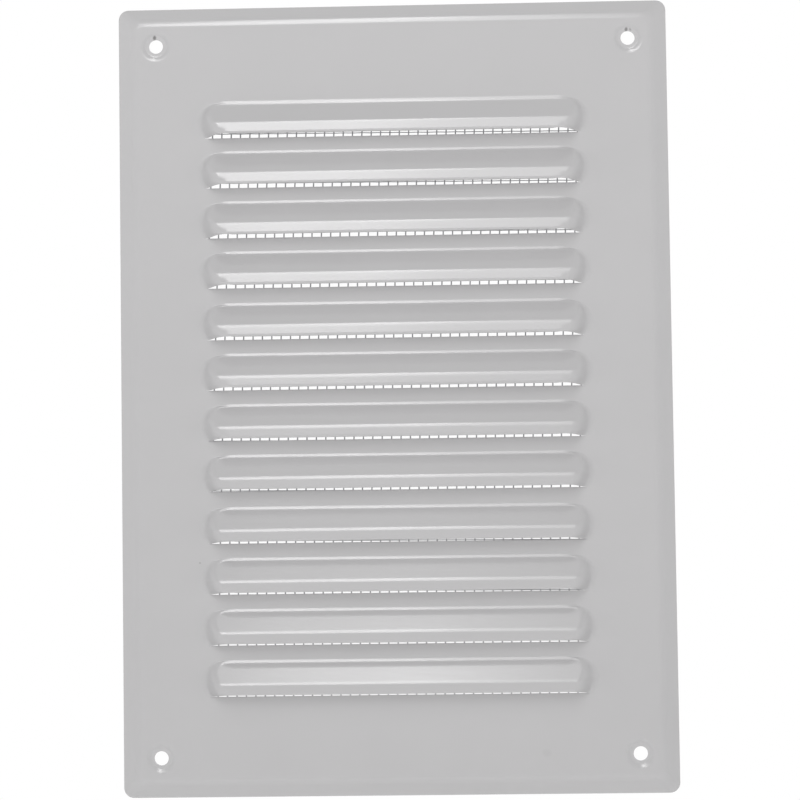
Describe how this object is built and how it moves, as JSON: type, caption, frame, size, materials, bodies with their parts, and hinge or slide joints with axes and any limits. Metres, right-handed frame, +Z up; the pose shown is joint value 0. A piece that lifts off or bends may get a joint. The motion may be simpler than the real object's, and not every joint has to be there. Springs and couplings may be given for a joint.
{
  "type": "ventilation grille",
  "caption": "Rectangular pressed steel ventilation grille with downward louvres, bevelled rim, corner screw holes and a woven insect mesh stuck to its back.",
  "frame": {"origin": "centre of the rim's back edge, on the wall plane", "axes": "+X to the right seen from the room, +Y into the wall, +Z up; the louvred front faces -Y"},
  "size_m": [0.165, 0.0098, 0.2366],
  "materials": {
    "grey_paint": "semi-gloss light grey paint",
    "mesh_wire": "dull galvanised wire",
    "adhesive": "cloudy hot-melt adhesive"
  },
  "bodies": {
    "root": {"face_plate": "grey_paint", "insect_mesh": "mesh_wire", "adhesive_bead": "adhesive"}
  },
  "joints": []
}
